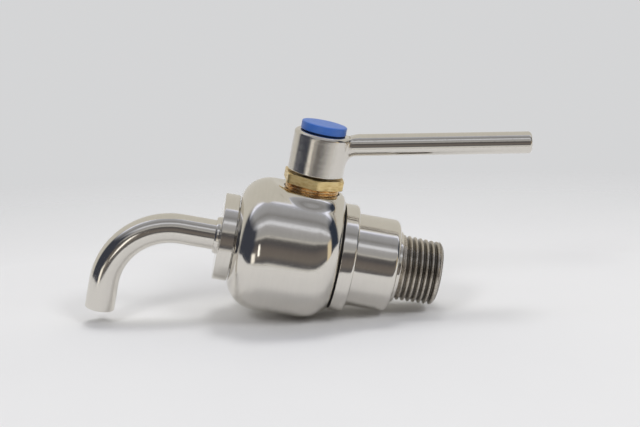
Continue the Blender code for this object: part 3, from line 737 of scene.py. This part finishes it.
def make_cap():
    top = CAP_TOP - CAP_FOOT
    outline = [(top, 0), (top, CAP_R - 1.2, 3.0), (top - 0.12, CAP_R, 0.35), (CAP_SKIRT, CAP_R, 0.2),
               (CAP_SKIRT, PLUG_R, 0.1), (CAP_PLUG, PLUG_R, 0.2), (CAP_PLUG, PLUG_BORE_R, 0.2),
               (0, PLUG_BORE_R, 0.2), (0, 0)]
    outline = filled_in(softened(outline, closed=False, steps=8), 1.2, closed=False)
    cap = swept("cap", outline, along_z, [BLUE], sides=128, closed=False)
    lean = Matrix.Rotation(CAP_LEAN[1], 4, "Y") @ Matrix.Rotation(CAP_LEAN[0], 4, "X")
    seat = Matrix.Translation(BALL + Vector((0, 0, CAP_FOOT * MM)))
    cap.data.transform(seat @ lean @ Matrix.Translation(-BALL))
    stands_for(cap, LEVER, "blue_plastic", "cap")


def dress_hidden_nodes():
    """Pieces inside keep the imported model's shape and take a finished material."""
    looks = {SEAT: ("front_seat", "rear_seat", "thrust_washer", "packing_ring_lower", "packing_ring_middle",
                    "packing_ring_upper"),
             MACHINED: ("gland_ring", "stop_pin", "stem", "plain_washer", "spring_washer", "handle_screw"),
             RUBBER: ("stem_o_ring",)}
    for mat, names in looks.items():
        for name in names:
            for mesh_slot in NODES[name].material_slots:
                mesh_slot.material = mat


# ---------------------------------------------------------------- studio

CAMERA_AZIMUTH, CAMERA_ELEVATION = math.radians(-5.581), math.radians(14.082)
CAMERA_ROLL = math.radians(11.454)
CAMERA_DISTANCE = 481.65
CAMERA_TARGET = Vector((4.141, 0, 13.054))
CAMERA_LENS, SENSOR_WIDTH = 84.36, 36
FLOOR_RADIUS = 0.75             # metres, as are the fades of its edges
FLOOR_FADE = (0.13, 0.25)
MIRRORED_NEAR_EDGE, MIRRORED_SIDE_EDGE = (-0.070, -0.088), (0.45, 0.70)


def camera_axes():
    back = Vector((math.sin(CAMERA_AZIMUTH) * math.cos(CAMERA_ELEVATION),
                   -math.cos(CAMERA_AZIMUTH) * math.cos(CAMERA_ELEVATION), math.sin(CAMERA_ELEVATION)))
    right = (-back).cross(Vector((0, 0, 1))).normalized()
    up = back.cross(right)
    turned_right = right * math.cos(CAMERA_ROLL) + up * math.sin(CAMERA_ROLL)
    return turned_right, back.cross(turned_right), back


def make_camera():
    right, up, back = camera_axes()
    camera = bpy.data.cameras.new("camera")
    camera.sensor_width = SENSOR_WIDTH
    camera.lens = CAMERA_LENS
    camera.clip_start = 0.01
    obj = bpy.data.objects.new("camera", camera)
    bpy.context.scene.collection.objects.link(obj)
    place = BALL + (CAMERA_TARGET + back * CAMERA_DISTANCE) * MM
    turn = Matrix((right, up, back)).transposed().to_4x4()
    obj.matrix_world = Matrix.Translation(place) @ turn
    bpy.context.scene.camera = obj


def table_axes():
    """Right, away from the camera and up, level with the table."""
    back = camera_axes()[2]
    away = (-back + TABLE_UP * back.dot(TABLE_UP)).normalized()
    return away.cross(TABLE_UP), away, TABLE_UP


def make_floor():
    """Pale sheet under the valve. It fades out with distance and isn't seen from below."""
    right, away, up = table_axes()
    bm = bmesh.new()
    bmesh.ops.create_circle(bm, cap_ends=True, segments=96, radius=FLOOR_RADIUS)
    mesh = bpy.data.meshes.new("floor")
    bm.to_mesh(mesh)
    bm.free()
    floor = bpy.data.objects.new("floor", mesh)
    bpy.context.scene.collection.objects.link(floor)
    floor.matrix_world = (Matrix.Translation(BALL - up * TABLE_DROP * MM)
                          @ Matrix((right, away, up)).transposed().to_4x4())
    mat = bpy.data.materials.new("floor_paper")
    tree = Tree(mat)
    tree.nodes.remove(tree.nodes["Principled BSDF"])
    output = tree.nodes["Material Output"]
    coords = tree.add("ShaderNodeTexCoord").outputs["Object"]
    oval = tree.add("ShaderNodeMapping", {"Vector": coords, "Location": (0, 0.05, 0), "Scale": (0.6, 1, 1)})
    length = tree.add("ShaderNodeVectorMath", {0: oval.outputs["Vector"]}, operation="LENGTH")
    mottle = tree.noise(coords, 14, 3)
    paper = tree.mix(mottle, (0.80, 0.80, 0.81, 1), (0.84, 0.84, 0.845, 1))
    solid = tree.add("ShaderNodeBsdfDiffuse", {"Color": paper}).outputs[0]
    clear = tree.add("ShaderNodeBsdfTransparent").outputs[0]
    fade = tree.remap(length.outputs["Value"], *FLOOR_FADE, 0, 1)
    under = tree.add("ShaderNodeNewGeometry").outputs["Backfacing"]
    # The metal mirrors a table with a straight near edge that reaches further to the sides
    place = tree.add("ShaderNodeSeparateXYZ", {0: coords}).outputs
    near_edge = tree.remap(place["Y"], *MIRRORED_NEAR_EDGE, 0, 1)
    side_edge = tree.remap(tree.math("ABSOLUTE", place["X"]), *MIRRORED_SIDE_EDGE, 0, 1)
    mirrored = tree.add("ShaderNodeLightPath").outputs["Is Glossy Ray"]
    edge = tree.add("ShaderNodeMix", {0: mirrored, 2: fade, 3: tree.math("MAXIMUM", near_edge, side_edge)})
    hidden = tree.math("MAXIMUM", edge.outputs[0], under)
    blend = tree.add("ShaderNodeMixShader", {0: hidden, 1: solid, 2: clear}).outputs[0]
    tree.links.new(blend, output.inputs["Surface"])
    mesh.materials.append(mat)


# What the polished metal mirrors, by degrees above the horizon in front of the valve.
# 90 is straight above and 180 the horizon behind, where the pale backdrop stands.
ROOM = [
    (-180, (0.70, 0.69, 0.67)), (-19, (0.70, 0.69, 0.67)), (-15, (0.10, 0.10, 0.11)),
    (-4, (0.19, 0.17, 0.155)), (8, (0.17, 0.15, 0.14)), (18, (0.10, 0.095, 0.10)),
    (24, (0.13, 0.125, 0.125)), (27, (0.45, 0.44, 0.43)), (29, (0.62, 0.60, 0.57)),
    (31, (0.42, 0.42, 0.42)), (38, (0.40, 0.40, 0.41)), (46, (0.44, 0.44, 0.46)),
    (50, (0.85, 0.88, 0.96)), (54, (0.80, 0.82, 0.90)), (57, (0.42, 0.43, 0.46)),
    (66, (0.27, 0.27, 0.28)), (74, (0.38, 0.385, 0.41)), (84, (0.42, 0.43, 0.46)),
    (90, (0.50, 0.52, 0.60)), (94, (1.2, 1.25, 1.5)), (99, (1.1, 1.15, 1.35)),
    (104, (0.50, 0.49, 0.46)), (125, (0.62, 0.60, 0.56)), (180, (0.68, 0.67, 0.64)),
]
BACKDROP = (0.662, 0.665, 0.672)
BACKDROP_SIDES, BACKDROP_SIDE = (100, 112), (0.66, 0.64, 0.59)

# Upright boards in the room. The middle, half width and soft edge are degrees round the valve. The fades
# of the bottom and the top are heights, as the sine of the elevation.
TABLE_LINE, DOOR_TOP, CORNER_TOP = (-0.25, -0.22), (0.22, 0.30), (0.55, 0.75)
BOARDS = [
    (-72, 28, 12, TABLE_LINE, CORNER_TOP, (0.055, 0.06, 0.08)),         # dark corner
    (88, 12, 8, TABLE_LINE, CORNER_TOP, (0.035, 0.045, 0.07)),          # dark corner
    (-19, 2.0, 2.5, (-0.07, -0.05), DOOR_TOP, (1.7, 1.65, 1.55)),       # bright doorway
    (66, 6, 3, TABLE_LINE, DOOR_TOP, (0.80, 0.68, 0.48)),               # tan board
    (-38, 4.0, 5.0, TABLE_LINE, (0.0, 0.05), (1.25, 1.2, 1.1)),         # low pale board
]


def make_world():
    """Plain backdrop for the camera, and a made-up room for the metal to mirror."""
    right, away, up = table_axes()
    world = bpy.data.worlds.new("studio")
    bpy.context.scene.world = world
    tree = Tree(world)
    direction = tree.add("ShaderNodeTexCoord").outputs["Generated"]

    def along(axis):
        node = tree.add("ShaderNodeVectorMath", {0: direction, 1: tuple(axis)}, operation="DOT_PRODUCT")
        return node.outputs["Value"]

    def degrees(rise, run):
        return tree.math("MULTIPLY", tree.math("ARCTAN2", rise, run), 180 / math.pi)

    sideways, height = along(right), along(up)
    forward = tree.math("MULTIPLY", along(away), -1)
    wobble = tree.noise(direction, 3.0, 3, 0.6)
    bent = tree.math("ADD", degrees(height, forward), tree.remap(wobble, 0.3, 0.7, -1.5, 1.5))
    share = tree.remap(bent, -180, 180, 0, 1)
    seen = tree.ramp(share, [((angle + 180) / 360, colour) for angle, colour in ROOM])

    azimuth = degrees(sideways, forward)
    for middle, half_width, soft, bottom, top, colour in BOARDS:
        off = tree.math("ABSOLUTE", tree.math("SUBTRACT", azimuth, middle))
        upright = tree.math("MULTIPLY", tree.remap(height, *bottom, 0, 1), tree.remap(height, *top, 1, 0))
        width = tree.remap(off, half_width, half_width + soft, 1, 0)
        seen = tree.mix(tree.math("MULTIPLY", width, upright), seen, (*colour, 1))

    # The room ends where the backdrop's sides begin
    beside = tree.remap(tree.math("ABSOLUTE", azimuth), *BACKDROP_SIDES, 0, 1)
    above_table = tree.remap(height, *TABLE_LINE, 0, 1)
    seen = tree.mix(tree.math("MULTIPLY", beside, above_table), seen, (*BACKDROP_SIDE, 1))

    plain = tree.add("ShaderNodeBackground", {"Color": (*BACKDROP, 1)}).outputs[0]
    mirrored = tree.add("ShaderNodeBackground", {"Color": seen}).outputs[0]
    to_camera = tree.add("ShaderNodeLightPath").outputs["Is Camera Ray"]
    chosen = tree.add("ShaderNodeMixShader", {0: to_camera, 1: mirrored, 2: plain}).outputs[0]
    tree.links.new(chosen, tree.nodes["World Output"].inputs["Surface"])


# Ceiling lamps: places as (right, away, up) from the valve and size in metres, power in watts
LAMPS = [(-0.60, -0.95, 0.95), (0.70, -0.80, 1.00), (0.10, 0.20, 1.25)]
LAMP_SIZE, LAMP_POWER = 0.35, 4.0


def make_lamps():
    """Soft lamps. Their own shapes aren't mirrored, because the room's ceiling already is."""
    right, away, up = table_axes()
    for number, place in enumerate(LAMPS):
        lamp = bpy.data.lights.new(f"softbox_{number}", "AREA")
        lamp.size = LAMP_SIZE
        lamp.energy = LAMP_POWER
        obj = bpy.data.objects.new(lamp.name, lamp)
        bpy.context.scene.collection.objects.link(obj)
        offset = right * place[0] + away * place[1] + up * place[2]
        facing = offset.to_track_quat("Z", "Y").to_matrix().to_4x4()
        obj.matrix_world = Matrix.Translation(BALL + offset) @ facing
        obj.visible_glossy = False


def main():
    make_camera()
    make_floor()
    make_world()
    make_lamps()
    make_body()
    make_spout_flange()
    make_spout_tube()
    make_end_cap()
    make_gasket()
    make_ball()
    make_packing_nut()
    make_handle_hub()
    make_handle_rod()
    make_cap()
    dress_hidden_nodes()
    bpy.context.scene.view_settings.view_transform = "Standard"


main()
